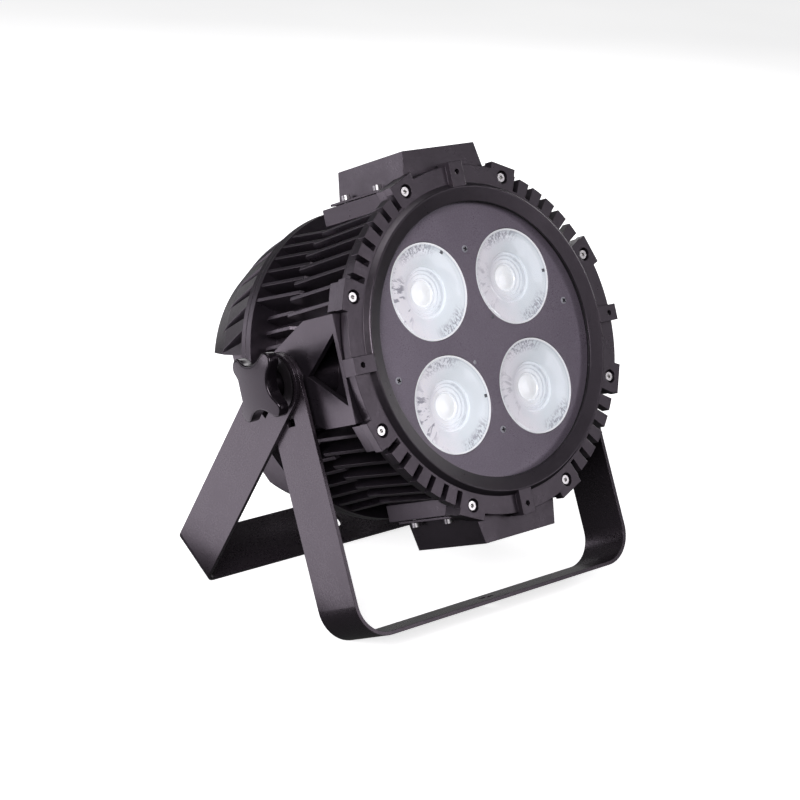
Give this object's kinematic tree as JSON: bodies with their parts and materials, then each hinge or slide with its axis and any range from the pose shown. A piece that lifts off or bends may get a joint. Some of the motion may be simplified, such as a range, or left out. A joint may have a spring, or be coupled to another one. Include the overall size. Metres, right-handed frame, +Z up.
{
  "type": "led wash light",
  "caption": "Round finned wash light head with large collimator lenses behind one glass, a toothed bezel ring, driver boxes above and below, and a double floor bracket with clamp knobs.",
  "frame": {"origin": "centre of the bounding box's bottom face, at floor level", "axes": "+Z up, the lamp's front looks towards -Y and is tilted up, +X is the lamp's right-hand side as seen by someone looking at its front"},
  "size_m": [0.3436, 0.3046, 0.3565],
  "materials": {
    "housing_paint": "satin black powder coat on die-cast aluminium",
    "bracket_paint": "satin black powder coat on bent steel strip",
    "panel_paint": "satin black paint on sheet",
    "clear_glass": "polished clear",
    "lens_glass": "polished clear optic",
    "led_emitter": "matte phosphor",
    "holder_plastic": "matte black",
    "black_rubber": "matte",
    "stainless_screw": "bright steel",
    "zinc_screw": "dull zinc",
    "bare_metal": "turned, bare",
    "knob_plastic": "gloss black",
    "black_plastic": "matte black",
    "socket_plastic": "matte black",
    "button_rubber": "matte dark grey",
    "display_pane": "gloss, smoked",
    "driver_case": "plain metal case",
    "circuit_board": "green solder mask"
  },
  "bodies": {
    "head": {"front_ring": "housing_paint", "ring_seal": "black_rubber", "glass_seal": "black_rubber", "front_glass": "clear_glass", "lens_panel": "panel_paint", "panel_posts": "bare_metal", "panel_screws": "zinc_screw", "front_housing": "housing_paint", "housing_seal": "black_rubber", "rear_housing": "housing_paint", "main_board": "circuit_board", "cover_seal": "black_rubber", "rear_cover": "housing_paint", "display_window": "display_pane", "vent_plug": "black_plastic", "top_box": "housing_paint", "top_box_seal": "black_rubber", "top_driver": "driver_case", "bottom_box": "housing_paint", "bottom_box_seal": "black_rubber", "bottom_driver": "driver_case", "ring_screws": "stainless_screw", "cover_screws": "stainless_screw", "tie_bolts": "stainless_screw", "box_screws": "stainless_screw", "upper_left_lens": "lens_glass", "upper_left_lens_holder": "holder_plastic", "upper_left_led": "led_emitter", "upper_right_lens": "lens_glass", "upper_right_lens_holder": "holder_plastic", "upper_right_led": "led_emitter", "lower_left_lens": "lens_glass", "lower_left_lens_holder": "holder_plastic", "lower_left_led": "led_emitter", "lower_right_lens": "lens_glass", "lower_right_lens_holder": "holder_plastic", "lower_right_led": "led_emitter", "power_in_socket": "socket_plastic", "power_out_socket": "socket_plastic", "signal_in_socket": "socket_plastic", "signal_out_socket": "socket_plastic"},
    "front_bracket": {"front_bracket": "bracket_paint"},
    "rear_bracket": {"rear_bracket": "bracket_paint"},
    "left_clamp": {"left_knob": "knob_plastic", "left_stud": "stainless_screw", "left_washer": "stainless_screw"},
    "right_clamp": {"right_knob": "knob_plastic", "right_stud": "stainless_screw", "right_washer": "stainless_screw"},
    "menu_button": {"menu_button": "button_rubber"},
    "down_button": {"down_button": "button_rubber"},
    "up_button": {"up_button": "button_rubber"},
    "enter_button": {"enter_button": "button_rubber"}
  },
  "joints": [
    {"name": "front_bracket_swing", "type": "hinge", "parent": "head", "child": "front_bracket", "pos_m": [0, -0.0245, 0.19164], "axis": [1, 0, 0], "continuous": true},
    {"name": "rear_bracket_swing", "type": "hinge", "parent": "head", "child": "rear_bracket", "pos_m": [0, -0.0245, 0.19164], "axis": [1, 0, 0], "continuous": true},
    {"name": "left_knob_turn", "type": "hinge", "parent": "head", "child": "left_clamp", "pos_m": [0, -0.0245, 0.19164], "axis": [-1, 0, 0], "range_deg": [0, 720]},
    {"name": "right_knob_turn", "type": "hinge", "parent": "head", "child": "right_clamp", "pos_m": [0, -0.0245, 0.19164], "axis": [1, 0, 0], "range_deg": [0, 720]},
    {"name": "menu_press", "type": "slide", "parent": "head", "child": "menu_button", "axis": [0, -0.9178, 0.3971], "range_m": [0, 0.001], "stiffness_N_per_m": 400},
    {"name": "down_press", "type": "slide", "parent": "head", "child": "down_button", "axis": [0, -0.9178, 0.3971], "range_m": [0, 0.001], "stiffness_N_per_m": 400},
    {"name": "up_press", "type": "slide", "parent": "head", "child": "up_button", "axis": [0, -0.9178, 0.3971], "range_m": [0, 0.001], "stiffness_N_per_m": 400},
    {"name": "enter_press", "type": "slide", "parent": "head", "child": "enter_button", "axis": [0, -0.9178, 0.3971], "range_m": [0, 0.001], "stiffness_N_per_m": 400}
  ]
}
